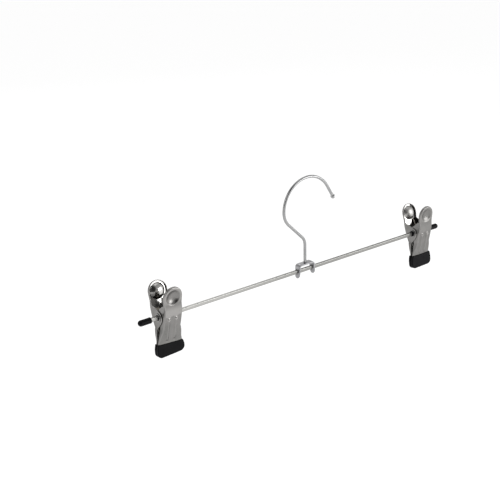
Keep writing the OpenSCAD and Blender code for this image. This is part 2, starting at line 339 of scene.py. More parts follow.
def steel_material(name, base, tint, rough, rough_span, grain=(1, 1, 1), grain_scale=900.0, spots=0.35, pit=0.00002, drift=0.0, inner=None, inner_rough=0.12):
    """Plated sheet or wire: cloudy plating, fine drawn grain, small marks, brighter worn edges."""
    mt, nt, b = principled(name, base, rough, 1.0)
    v = mapping(nt)
    cloud = noise(nt, v, 70.0, 5.0, 0.6, 0.4)
    fine = noise(nt, mapping(nt, grain), grain_scale, 3.0, 0.6)
    col = mix(nt, ramp(nt, cloud, [(0.35, 0.0), (0.65, 1.0)]), base, tint)
    if drift:
        # slow change of the plating's tone along the part
        slow = ramp(nt, noise(nt, mapping(nt, (1.0, 0.2, 0.2)), 9.0, 2.0, 0.5), [(0.38, 0.0), (0.62, 1.0)])
        col = mix(nt, math_node(nt, "MULTIPLY", slow, drift), col, tuple(c * 0.62 for c in base))
    marks = ramp(nt, noise(nt, v, 420.0, 3.0, 0.7), [(0.62, 0.0), (0.72, 1.0)])
    col = mix(nt, math_node(nt, "MULTIPLY", marks, spots), col, tuple(c * 0.55 for c in base))
    edge = node(nt, "ShaderNodeAttribute", attribute_name="edge")
    worn = math_node(nt, "MULTIPLY", edge.outputs["Fac"], ramp(nt, cloud, [(0.3, 0.35), (0.7, 1.0)]))
    col = mix(nt, worn, col, tuple(min(1.0, c * 1.35 + 0.05) for c in base))
    # painted highlight: the base colour is lightened by the per-vertex highlight attribute
    painted_highlight = node(nt, "ShaderNodeAttribute", attribute_name="painted_highlight")
    col = mix(nt, painted_highlight.outputs["Fac"], col, tuple(min(1.0, c * 2.1) for c in base))
    r = math_node(nt, "ADD", rough - rough_span / 2, math_node(nt, "MULTIPLY", ramp(nt, math_node(nt, "ADD", math_node(nt, "MULTIPLY", cloud, 0.6), math_node(nt, "MULTIPLY", fine, 0.4)), [(0.35, 0.0), (0.65, 1.0)]), rough_span))
    dull = node(nt, "ShaderNodeAttribute", attribute_name="dull")
    if inner:
        # bright plating on the side that the press tool polished
        side_ = node(nt, "ShaderNodeAttribute", attribute_name="inner")
        col = mix(nt, side_.outputs["Fac"], col, mix(nt, ramp(nt, cloud, [(0.35, 0.0), (0.65, 1.0)]), inner, tuple(c * 0.86 for c in inner)))
        k = math_node(nt, "SUBTRACT", 1.0, side_.outputs["Fac"])
        r = math_node(nt, "ADD", math_node(nt, "MULTIPLY", r, k), math_node(nt, "MULTIPLY", side_.outputs["Fac"], math_node(nt, "ADD", inner_rough, math_node(nt, "MULTIPLY", cloud, 0.06))))
        r = math_node(nt, "ADD", r, math_node(nt, "MULTIPLY", node(nt, "ShaderNodeAttribute", attribute_name="matt").outputs["Fac"], 0.24))
    # painted shade: darkened base colour on the inner faces of the side walls and folds, and on a few dark patches of
    # the back jaws
    col = mix(nt, dull.outputs["Fac"], col, tuple(c * 0.22 for c in base))
    nt.links.new(col, b.inputs["Base Color"])
    nt.links.new(r, b.inputs["Roughness"])
    bump(nt, b, fine, pit, 0.6)
    return mt


M_JAW = steel_material("pressed_steel_jaw", (0.245, 0.238, 0.231), (0.20, 0.197, 0.19), 0.33, 0.10, (1.0, 1.0, 0.12), 1500.0, inner=(0.66, 0.65, 0.63))
M_BAR = steel_material("plated_bar", (0.345, 0.342, 0.33), (0.30, 0.30, 0.287), 0.30, 0.08, (0.04, 1.0, 1.0), 2500.0, 0.12, 0.000001, drift=0.4)
M_WIRE = steel_material("plated_wire", (0.43, 0.43, 0.43), (0.36, 0.362, 0.366), 0.28, 0.10, (1.0, 1.0, 1.0), 1200.0, 0.2, 0.000004, drift=0.4)
M_YOKE = steel_material("zinc_yoke", (0.40, 0.40, 0.41), (0.27, 0.27, 0.28), 0.38, 0.14, (1.0, 1.0, 1.0), 900.0, 0.5, 0.00004)
M_SLEEVE = steel_material("plated_sleeve", (0.27, 0.265, 0.26), (0.20, 0.20, 0.195), 0.34, 0.10, (0.1, 1.0, 1.0), 1500.0, 0.3, 0.00001)
M_SPRING = steel_material("spring_wire", (0.46, 0.43, 0.38), (0.36, 0.33, 0.29), 0.30, 0.12, (1.0, 1.0, 1.0), 1400.0, 0.4, 0.00002)


def black_material(name, base, light, rough, rough_span, scale, pit, spec=0.25, coat=0.0):
    """Black moulded plastic or dipped vinyl: fine orange peel, dust, cloudy variation of colour and roughness."""
    mt, nt, b = principled(name, base, rough, 0.0)
    b.inputs["Specular IOR Level"].default_value = spec
    b.inputs["Coat Weight"].default_value = coat
    b.inputs["Coat Roughness"].default_value = 0.35
    v = mapping(nt)
    cloud = noise(nt, v, scale * 0.12, 4.0, 0.6, 0.3)
    peel = noise(nt, v, scale, 3.0, 0.5)
    dust = ramp(nt, noise(nt, v, scale * 2.2, 2.0, 0.8), [(0.66, 0.0), (0.78, 1.0)])
    col = mix(nt, ramp(nt, cloud, [(0.35, 0.0), (0.7, 1.0)]), base, light)
    col = mix(nt, math_node(nt, "MULTIPLY", dust, 0.12), col, (0.16, 0.155, 0.15))
    nt.links.new(col, b.inputs["Base Color"])
    r = math_node(nt, "ADD", rough - rough_span / 2, math_node(nt, "MULTIPLY", ramp(nt, cloud, [(0.3, 0.0), (0.7, 1.0)]), rough_span))
    nt.links.new(r, b.inputs["Roughness"])
    bump(nt, b, peel, pit, 0.7)
    return mt


M_PAD = black_material("black_vinyl", (0.004, 0.004, 0.005), (0.008, 0.008, 0.009), 0.50, 0.14, 900.0, 0.00006, 0.08)
M_CAP = black_material("black_plastic", (0.003, 0.003, 0.004), (0.006, 0.006, 0.008), 0.42, 0.10, 1400.0, 0.00002, 0.09)

# ------------------------------------------------------------------ bar
def build_bar():
    a, h, r = BAR_T / 2, BAR_H / 2, 0.72
    prof = []
    for cx, cz, a0 in ((a - r, h - r, 0), (-a + r, h - r, 90), (-a + r, -h + r, 180), (a - r, -h + r, 270)):
        for k in range(7):
            th = math.radians(a0 + 15 * k)
            prof.append((cx + r * math.cos(th), cz + r * math.sin(th)))
    prof = np.array(prof)
    end = HALF_L - 1.3
    xs = np.concatenate([[-end, -end + 0.12, -end + 0.3], np.linspace(-end + 0.8, end - 0.8, 220), [end - 0.3, end - 0.12, end]])
    inset = np.interp(xs, [-end, -end + 0.12, -end + 0.3, end - 0.3, end - 0.12, end], [0.28, 0.08, 0, 0, 0.08, 0.28])
    # drawn bar: its faces are flat to a few hundredths, its long edges a little uneven
    v = []
    for i, x in enumerate(xs):
        g = 1 - 0.012 * (0.5 + 0.5 * math.sin(x * 0.31 + 1.3 * math.sin(x * 0.053)))
        s = np.array([(a - inset[i]) / a, (h - inset[i]) / h]) * g
        v += [(x, p[0] * s[0], p[1] * s[1]) for p in prof]
    n = len(prof)
    f = ring_faces(len(xs), n)
    f += [tuple(range(n - 1, -1, -1)), tuple(range((len(xs) - 1) * n, len(xs) * n))]
    v = np.array(v)
    d = np.minimum(np.abs(np.abs(v[:, 1]) - (a - 0.15)), np.abs(np.abs(v[:, 2]) - (h - 0.15)))
    edge = np.where((np.abs(v[:, 1]) > a - 0.4) & (np.abs(v[:, 2]) > h - 0.4), 0.12, 0.0)
    # painted reflection: the bar's colour is lighter towards its left end
    painted_highlight = 0.40 * smooth((50 - v[:, 0]) / 190)
    o = mesh_object("bar_drawn", place(v), outward(v, f), 50, {"edge": edge * 0.5, "painted_highlight": painted_highlight})
    return finish_piece(o, M_BAR, "bar_body", ["bar"])


# ------------------------------------------------------------------ end caps
def build_cap(side):
    s = -1 if side == "left" else 1
    x0 = HALF_L - CAP_L
    r = CAP_R
    prof = [(x0 + 0.35, 1.75), (x0 + 0.08, 1.85), (x0, 2.0), (x0 + 0.05, 2.16), (x0 + 0.22, 2.27), (x0 + 0.5, 2.3), (x0 + 0.95, 2.3), (x0 + 1.15, 2.25), (x0 + 1.35, 2.235)]
    prof += [(x0 + 1.35 + (HALF_L - r - x0 - 1.35) * k / 8, 2.235 + 0.045 * k / 8) for k in range(1, 9)]
    for k in range(1, 13):
        th = math.radians(90 - 7.35 * k)
        prof.append((HALF_L - r + (r - 0.02) * math.cos(th), 2.28 * math.sin(th)))
    v, f = lathe_x(prof, 48)
    v[:, 0] *= s
    f = outward(v, f)
    o = mesh_object(side + "_end_cap_moulded", place(v), f, 50)
    return finish_piece(o, M_CAP, "bar_body", [side + "_end_cap"])


# ------------------------------------------------------------------ yoke
def build_yoke():
    span, top, t, w, br = 8.0, 5.8, 1.2, 5.6, 2.5
    splay = 0.07
    # middle line of the strip, from the left ear's tip over the top to the right one's
    def leg(drop, s_):
        out = []
        for fr in (0.0, 0.05, 0.15, 0.3, 0.5, 0.75, 1.05, 1.4, 1.8, 2.3, 2.8, 3.4, 4.0, 4.7, 5.5, 6.3, 7.1, 7.9):
            z = -drop + fr
            if z > top - br - 0.3:
                break
            # legs lean outwards going down, in a soft curve from the bend
            out.append((s_ * (span - t / 2 + splay * (top - br - z)), z, s_, splay, z))
        out.append((s_ * (span - t / 2), top - br, s_, splay * 0.5, top - br))
        for k in range(1, 13):
            th = math.radians(7.5 * k)
            out.append((s_ * (span - br + (br - t / 2) * math.cos(th)), top - br + (br - t / 2) * math.sin(th), s_ * math.cos(th), math.sin(th), top))
        return out
    path = leg(5.65, -1)
    xs = np.linspace(-(span - br), span - br, 19)[1:-1]
    path += [(x, top - t / 2, 0.0, 1.0, top) for x in xs]
    path += leg(5.25, 1)[::-1]
    pts = [(q[0], q[1]) for q in path]
    nrm = []
    for q in path:
        l = math.hypot(q[2], q[3]); nrm.append((q[2] / l, q[3] / l))
    drops = [5.65 if q[0] < 0 else 5.25 for q in path]
    free = [q[4] + d for q, d in zip(path, drops)]
    level = [q[4] for q in path]
    # rounded section across the strip, with extra points along the wide faces
    rc = 0.32

    def section(hw, ht):
        rr = min(rc, hw * 0.6, ht * 0.6)
        out = []
        corners = ((1, 1, 0), (-1, 1, 90), (-1, -1, 180), (1, -1, 270))
        for ci, (cy, cn, a0) in enumerate(corners):
            for k in range(5):
                th = math.radians(a0 + 22.5 * k)
                out.append((cy * (hw - rr) + rr * math.cos(th), cn * (ht - rr) + rr * math.sin(th)))
            if ci in (0, 2):
                y0, y1 = out[-1][0], -out[-1][0]
                for k in range(1, 8):
                    out.append((y0 + (y1 - y0) * k / 8, cn * ht))
        return out
    v = []
    for (x, z), (nx, nz), fr, lv in zip(pts, nrm, free, level):
        # the strip narrows from the bend to the bar and on to its tongue-shaped tip
        hw = np.interp(lv, [-4.6, -3.2, -1.4, 0.6, 4.6], [2.1, 2.4, 2.7, 2.8, 2.8])
        if fr < 2.1:
            q = min(1.0, fr / 2.1)
            hw *= math.sqrt(max(0.0, 1 - (1 - q) ** 2)) * (0.96 + 0.04 * q)
        hw = max(hw, 0.22)
        ht = t / 2 * (1 if fr > 0.5 else 0.55 + 0.45 * math.sqrt(max(0.0, 1 - (1 - fr / 0.5) ** 2)))
        crown = 0.06
        for y, q in section(hw, ht):
            c = -crown * (y / (w / 2)) ** 2
            v.append((x + nx * (q + c), y, z + nz * (q + c)))
    v = np.array(v)
    n = len(section(1, 1))
    f = ring_faces(len(pts), n)
    f += [tuple(range(n - 1, -1, -1)), tuple(range((len(pts) - 1) * n, len(pts) * n))]
    f = outward(v, f)
    o = mesh_object("yoke_pressed", place(v), f, 50)
    # slots for the bar, hole for the hook's stem
    slot = []
    for k in range(17):
        th = math.radians(180 * k / 16)
        slot.append((BAR_T / 2 * 1.02 * math.cos(th), 1.45 + BAR_T / 2 * 1.02 * math.sin(th)))
    for k in range(17):
        th = math.radians(180 + 180 * k / 16)
        slot.append((BAR_T / 2 * 1.02 * math.cos(th), -1.45 + BAR_T / 2 * 1.02 * math.sin(th)))
    cv = [(x, y, z) for x in (-12, 12) for y, z in slot]
    ns = len(slot)
    cf = ring_faces(2, ns) + [tuple(range(ns - 1, -1, -1)), tuple(range(ns, 2 * ns))]
    c1 = mesh_object("cut_slot", place(np.array(cv)), outward(np.array(cv), cf))
    hv, hf = tube([(0, 0, 2), (0, 0, 5), (0, 0, 9)], 1.28, (0, 1, 0), 32)
    c2 = mesh_object("cut_hole", place(hv), outward(hv, hf))
    cut(o, [c1, c2], 40)
    return finish_piece(o, M_YOKE, "bar_body", ["yoke"])


# ------------------------------------------------------------------ hook
def hook_path():
    head_top = 5.8 - 1.2 - 0.05
    p1 = np.array([LOOP_X - LOOP_R + BEND_UP - BEND_UP * math.cos(SLANT), LOOP_Z - BEND_UP * math.sin(SLANT)])
    p2x = -BEND_LOW + BEND_LOW * math.cos(SLANT)
    run = (p2x - p1[0]) / math.sin(SLANT)
    stem_z = p1[1] - run * math.cos(SLANT) - BEND_LOW * math.sin(SLANT)
    out = [(0, z) for z in np.linspace(head_top - 0.3, stem_z, 22)]
    out += [(-BEND_LOW + BEND_LOW * math.cos(a), stem_z + BEND_LOW * math.sin(a)) for a in np.linspace(0, SLANT, 16)[1:]]
    q0 = np.array(out[-1])
    out += [tuple(q0 + (p1 - q0) * k / 16) for k in range(1, 17)]
    c = np.array([LOOP_X - LOOP_R + BEND_UP, LOOP_Z])
    out += [(c[0] + BEND_UP * math.cos(a), c[1] + BEND_UP * math.sin(a)) for a in np.linspace(math.pi + SLANT, math.pi, 18)[1:]]
    out += [(LOOP_X + LOOP_R * math.cos(a), LOOP_Z + LOOP_R * math.sin(a)) for a in np.linspace(math.pi, TIP_A, 90)[1:]]
    e = np.array(out[-1])
    d = np.array([math.sin(TIP_A), -math.cos(TIP_A)])
    out += [tuple(e + d * TIP_L * k / 14) for k in range(1, 12)]
    return np.array(out), e, d, head_top


def build_hook():
    p, e, d, head_top = hook_path()
    pts = [(x, 0.0, z) for x, z in p]
    rad = [WIRE_R] * len(pts)
    # ball formed on the wire's end, with a soft neck
    for s_ in np.concatenate([np.linspace(9.5, 10.2, 5), np.linspace(10.35, 13.38, 18)]):
        c = e + d * s_
        u = (s_ - TIP_L) / BALL_R
        ball = BALL_R * math.sqrt(max(0.0, 1 - u * u))
        neck = WIRE_R if s_ < TIP_L else 0.0
        if s_ < TIP_L:
            k = 0.25
            hh = max(k - abs(ball - neck), 0) / k
            rr = max(ball, neck) + hh * hh * k * 0.25
        else:
            rr = ball
        pts.append((c[0], 0.0, c[1]))
        rad.append(max(rr, 0.12))
    v, f = tube(pts, rad, (0, 1, 0), 28)
    f = outward(v, f)
    # upset head under the yoke, turned
    hp = [(head_top - 0.80, 0.2), (head_top - 0.80, 0.95), (head_top - 0.76, 1.15), (head_top - 0.66, 1.36), (head_top - 0.5, 1.6), (head_top - 0.36, 1.74), (head_top - 0.24, 1.8), (head_top - 0.1, 1.8), (head_top - 0.03, 1.74), (head_top, 1.6), (head_top, 0.3)]
    hv, hf = lathe_x(hp, 40)
    hv = hv[:, [1, 2, 0]]
    hf = outward(hv, hf)
    nv = len(v)
    V = np.vstack([v, hv])
    F = list(f) + [tuple(nv + i for i in q) for q in hf]
    o = mesh_object("hook_wire", place(V), F, 50)
    return finish_piece(o, M_WIRE, "hook_body", ["hook"])


# ------------------------------------------------------------------ jaws
def profile_tables():
    """Outer face of the jaw along its length h, 0 at the bend beside the pivot, up positive."""
    h = np.arange(-36, 26, 0.05)
    a_tip = math.atan((TIP[0] - GRIP[0]) / (GRIP[1] - TIP[1]))
    a_low = math.atan((GRIP[0] - MID[0]) / (MID[1] - GRIP[1]))
    h_grip = -math.hypot(GRIP[0] - MID[0], GRIP[1] - MID[1])
    al = -a_tip + (a_low + a_tip) * smooth((h - h_grip + 1.6) / 3.2) + (LEAN - a_low) * smooth((h + 1.8) / 3.6)
    i0 = int(np.argmin(np.abs(h)))
    y = np.zeros_like(h); z = np.zeros_like(h)
    dy, dz = -np.sin(al) * 0.05, np.cos(al) * 0.05
    y[i0], z[i0] = MID[0] + 0.05, MID[1]
    for i in range(i0 + 1, len(h)):
        y[i] = y[i - 1] + dy[i - 1]; z[i] = z[i - 1] + dz[i - 1]
    for i in range(i0 - 1, -1, -1):
        y[i] = y[i + 1] - dy[i]; z[i] = z[i + 1] - dz[i]
    return h, y, z, al, h_grip


PH, PY, PZ, PA, H_GRIP = profile_tables()
H_DISC = 17.5 - BEND_Z


def prof(h):
    return np.interp(h, PH, PY), np.interp(h, PH, PZ), np.interp(h, PH, PA)


def half_width(y, z, outer):
    """Half width of the jaw at a point of its side, seen from the front."""
    neck = NECK_OUT if outer else NECK_IN
    y, z = np.asarray(y, float), np.asarray(z, float)
    zz = -y * math.sin(LEAN) + z * math.cos(LEAN)
    upper = neck + (DISC_R - neck) * smooth((zz - 8.0) / 9.5)
    k = (FLARE - neck) / (-8.5 - GRIP[1])
    a = -8.5 - z
    soft = np.where(a > 1.2, a, np.where(a < -1.2, 0, (a + 1.2) ** 2 / 4.8))
    lower = np.minimum(neck + k * soft, FLARE + 0.12)
    out = np.where(z < -1, lower, upper)
    if outer:
        # the web runs on at its full width; the ear is set in a little round the pivot
        out = out + 0.75 * np.maximum(smooth((-y - 3.4) / 2.6), smooth((-z - 7) / 3)) * (1 - smooth((-z - 12) / 7)) * (1 - smooth((zz - 7) / 6))
    return out


def relief(x, h, depth=DIMPLE_D):
    """How far the outer face stands out of the plain profile: thumb dimple in, beads out."""
    r = np.hypot(x, h - H_DISC)
    rs = (DIMPLE_R ** 2 + depth ** 2) / (2 * depth)
    cap = np.where(r < rs, np.sqrt(np.maximum(rs * rs - r * r, 0)) - (rs - depth), -9)
    k = 0.42
    dim = np.where(cap > k, cap, np.where(cap < -k, 0, (cap + k) ** 2 / (4 * k)))
    bead = np.zeros_like(r)
    for c in (-3.05, 3.05):
        g = np.where(np.abs(x - c) < 1.45, 0.5 * (1 + np.cos(math.pi * (x - c) / 1.45)), 0)
        w = smooth((-1.3 - h) / 1.3) * smooth((h - (H_GRIP + 0.5)) / 2)
        bead = bead + 0.80 * g * w * (1 + 0.55 * np.exp(-((h + 3.1) / 1.2) ** 2))
    return bead - dim


# free edge of the side wall opposite each point h of the web: rim round the disc, shoulder, ear round the pivot, slot edge
FREE_OUT = np.array([
    (-34, -1.0, -31.0), (-21.6, -1.0, -19.1), (-11.2, -1.65, -9.2), (-9.6, -1.35, -8.1), (-8.2, -0.2, -7.0), (-5.8, 1.9, -4.9),
    (-3.6, 3.8, -2.0), (-2.2, 4.2, 0.1), (-0.9, 3.75, 2.0), (0.2, 2.6, 3.35), (1.4, 1.0, 4.3), (2.6, -0.9, 5.05),
    (3.9, -3.0, 6.1), (5.4, -5.4, 7.2), (6.6, -7.1, 8.0), (7.4, -7.75, 8.9), (8.4, -7.9, 9.9)])
FREE_IN = np.array([
    (-34, -0.95, -31.0), (-21.6, -0.95, -19.1), (-11.2, -0.45, -9.0), (-9.6, -0.1, -7.8), (-8.2, 1.1, -6.5), (-5.8, 2.6, -4.3),
    (-3.4, 3.85, -1.9), (-1.7, 4.2, 0.1), (-0.3, 3.75, 2.0), (1.0, 2.3, 3.85), (2.5, 0.0, 5.5), (4.8, -3.0, 7.7),
    (7.0, -5.6, 9.6), (8.4, -7.2, 10.7)])


def free_edge(h, outer):
    y, z, a = prof(h)
    ry, rz = y + LIP * np.cos(a), z + LIP * np.sin(a)
    hs = np.linspace(-34, 8.4, 800)
    table = FREE_OUT if outer else FREE_IN
    n = 23 if outer else 33
    win = np.hanning(n); win /= win.sum()
    ky, kz = (np.convolve(np.pad(np.interp(hs, table[:, 0], table[:, c]), n // 2, mode="edge"), win, "valid") for c in (1, 2))
    ey, ez = np.interp(h, hs, ky), np.interp(h, hs, kz)
    w = smooth((h - 6.4) / 1.8) if outer else smooth((h - 6.2) / 3.4)
    return ey + (ry - ey) * w, ez + (rz - ez) * w


def build_jaw(side, which):
    x0, swing = CLIPS[side]
    turn = 0 if which == "front" else 180
    rb = 0.85
    cols = 49
    hs = np.concatenate([np.arange(-29, -23, 1.0), np.arange(-23, -4.4, 0.55), np.arange(-4.4, 0.4, 0.24), np.arange(0.4, 6.4, 0.4), np.linspace(6.6, H_DISC, 26)])
    u = np.linspace(-1, 1, cols)
    X, H = [], []
    for h in hs:
        y, z, a = prof(h)
        xl, xr = -(half_width(y, z, False) - rb), half_width(y, z, True) - rb
        X.append(xl + (xr - xl) * (u + 1) / 2)
        H.append(np.full(cols, h))
    ri = DISC_R - rb
    tops = 22
    for k in range(1, tops + 1):
        vv = k / tops
        X.append(ri * u * np.sqrt(1 - vv * vv / 2))
        H.append(H_DISC + ri * vv * np.sqrt(1 - u * u / 2))
    X, H = np.array(X), np.array(H)
    rows = len(X)
    y, z, a = prof(H)
    off = relief(X, H, 1.9 if (side, which) == ("right", "front") else DIMPLE_D)
    V = np.stack([X, y - off * np.cos(a), z - off * np.sin(a)], -1)
    idx = np.arange(rows * cols).reshape(rows, cols)
    quads = [(idx[i, j], idx[i, j + 1], idx[i + 1, j + 1], idx[i + 1, j]) for i in range(rows - 1) for j in range(cols - 1)]
    # boundary: up the left side, along the top, down the right side
    loop = [(i, 0) for i in range(rows)] + [(rows - 1, j) for j in range(1, cols)] + [(i, cols - 1) for i in range(rows - 2, -1, -1)]
    bx = np.array([X[i, j] for i, j in loop]); bh = np.array([H[i, j] for i, j in loop])
    tx, th = np.gradient(bx), np.gradient(bh)
    L = np.hypot(tx, th); nx, nh = -th / L, tx / L
    # smooth the normals' turn at the two corners of the top patch
    for _ in range(2):
        nx[1:-1] = (nx[:-2] + 2 * nx[1:-1] + nx[2:]) / 4; nh[1:-1] = (nh[:-2] + 2 * nh[1:-1] + nh[2:]) / 4
        q = np.hypot(nx, nh); nx /= q; nh /= q
    straight = bh < H_DISC - 0.01
    nh = np.where(bh < 5, 0.0, nh); nx = np.where(bh < 5, np.sign(nx), nx)
    strips = []
    fold = 6
    for k in range(1, fold + 1):
        ph = math.pi / 2 * k / fold
        xx, hh = bx + rb * math.sin(ph) * nx, bh + rb * math.sin(ph) * nh
        yy, zz, aa = prof(hh)
        dep = rb * (1 - math.cos(ph))
        strips.append(np.stack([xx, yy + dep * np.cos(aa), zz + dep * np.sin(aa)], -1))
    ox, oh = bx + rb * nx, bh + rb * nh
    yy, zz, aa = prof(oh)
    A = np.stack([yy + rb * np.cos(aa), zz + rb * np.sin(aa)], -1)
    outer = ox > 0
    (fy, fz), (gy, gz) = free_edge(oh, False), free_edge(oh, True)
    fy, fz = np.where(outer, gy, fy), np.where(outer, gz, fz)
    # beside the pad only a short turned edge is left of the wall
    fy = np.where(oh < -8, np.maximum(fy, A[:, 0] + 0.14), fy)
    fz = fz + (A[:, 1] - fz) * smooth((-oh - 17) / 3)
    wall = 9
    for k in range(1, wall + 1):
        t = k / wall
        py, pz = A[:, 0] + (fy - A[:, 0]) * t, A[:, 1] + (fz - A[:, 1]) * t
        hw = np.where(outer, half_width(py, pz, True), -half_width(py, pz, False))
        w = smooth((bh - 8.5) / 4.5)
        strips.append(np.stack([hw + (ox - hw) * w, py, pz], -1))
    # the fold must meet the wall where the wall's own width differs a little
    base = rows * cols
    m_ = len(loop)
    VV = [V.reshape(-1, 3)] + strips
    prev = [idx[i, j] for i, j in loop]
    for k in range(len(strips)):
        cur = [base + k * m_ + s for s in range(m_)]
        for s in range(m_ - 1):
            quads.append((prev[s], prev[s + 1], cur[s + 1], cur[s]))
        prev = cur
    verts = np.vstack(VV)
    solid, faces, nrm, rim = thicken(verts, quads, SHEET, 4)
    # wear: along the folds, the free edges, the bead crests and round the dimple
    edge = np.zeros(len(solid))
    n0 = len(verts)
    web = np.zeros(n0)
    xw, hw_ = X.ravel(), H.ravel()
    r = np.hypot(xw, hw_ - H_DISC)
    ring = np.exp(-((r - 6.0) / 0.35) ** 2) * 0.25
    crest = np.zeros_like(r)
    for c in (-3.05, 3.05):
        crest += np.exp(-((xw - c) / 0.45) ** 2) * smooth((-1.6 - hw_) / 1.0) * 0.45
    web[: rows * cols] = np.clip(ring + crest, 0, 1)
    for k in range(fold):
        web[base + k * m_: base + (k + 1) * m_] = 0.5 * math.sin(math.pi * (k + 1) / (fold + 1))
    edge[:n0] = web
    edge[2 * n0:] = 0.5
    inner = np.zeros(len(solid)); inner[n0:n0 + rows * cols] = 1.0; inner[2 * n0:] = 0.3
    # painted shade on the inner faces of the side walls and folds
    dull = np.zeros(len(solid)); dull[n0 + rows * cols:2 * n0] = 0.85
    matt = np.zeros(len(solid))
    if (side, which) == ("left", "back"):
        # painted shade: a dark patch low down on one side, standing in for the photo's dark band, which is a
        # reflection; its shape is a guess
        dull[n0:n0 + rows * cols] = 0.85 * smooth((xw - 0.2) / 2.2) * smooth((H_DISC + 1.0 - hw_) / 2.5) * smooth((hw_ - 2) / 2)
    if (side, which) == ("right", "back"):
        # a rougher, less bright dome, and painted shade round one side of the thumb ring: guesses for the photo's dark
        # bands too
        matt[n0:n0 + rows * cols] = smooth((5.9 - r) / 0.8)
        dull[n0:n0 + rows * cols] = smooth((-xw - 1.6) / 1.6) * smooth((r - 5.3) / 0.5) * smooth((hw_ - 4) / 2)
    # painted highlight: a lighter band above the bend and a lighter flat ring round the dimple, stronger on the left
    # clip and on the front jaws
    painted_highlight = np.zeros(len(solid))
    jag = 0.9 * np.abs(np.abs(xw) - 3.05)
    band = smooth((hw_ + 2.6 - np.minimum(jag, 2.0) * 0.9) / 1.2) * smooth((9.5 - hw_) / 6.0)
    flat = smooth((r - 5.7) / 0.5) * smooth((hw_ - 8.5) / 4.0)
    painted_highlight[: rows * cols] = np.maximum(band, flat * 0.8) * {"left": 0.42, "right": 0.1}[side] * (1 if which == "front" else 0.3)
    # painted highlights on the bead tops
    for c in (-3.05, 3.05):
        painted_highlight[: rows * cols] += 0.95 * np.exp(-((xw - c) / 0.85) ** 2 - ((hw_ + 2.6) / 0.9) ** 2)
    # painted highlight along the upper folds round the disc
    for k in range(fold):
        painted_highlight[base + k * m_: base + (k + 1) * m_] = np.where(bh > 6, {"left": 0.3, "right": 0.12}[side] * (1 if which == "front" else 0.3), 0) * (1 - k / fold)
    v = hung(solid, x0, swing, turn)
    o = mesh_object(side + "_" + which + "_jaw_pressed", v, faces, None, {"edge": edge, "inner": inner, "painted_highlight": painted_highlight, "dull": dull, "matt": matt})
    cv, cf = tube([(-12, 0, 0), (0, 0, 0), (12, 0, 0)], SLEEVE_R + 0.06, (0, 1, 0), 48)
    c = mesh_object("cut_pivot", hung(cv, x0, swing, turn), outward(cv, cf))
    cut(o, [c], 50)
    return finish_piece(o, M_JAW, side + "_" + which, [side + "_" + which + "_jaw"])


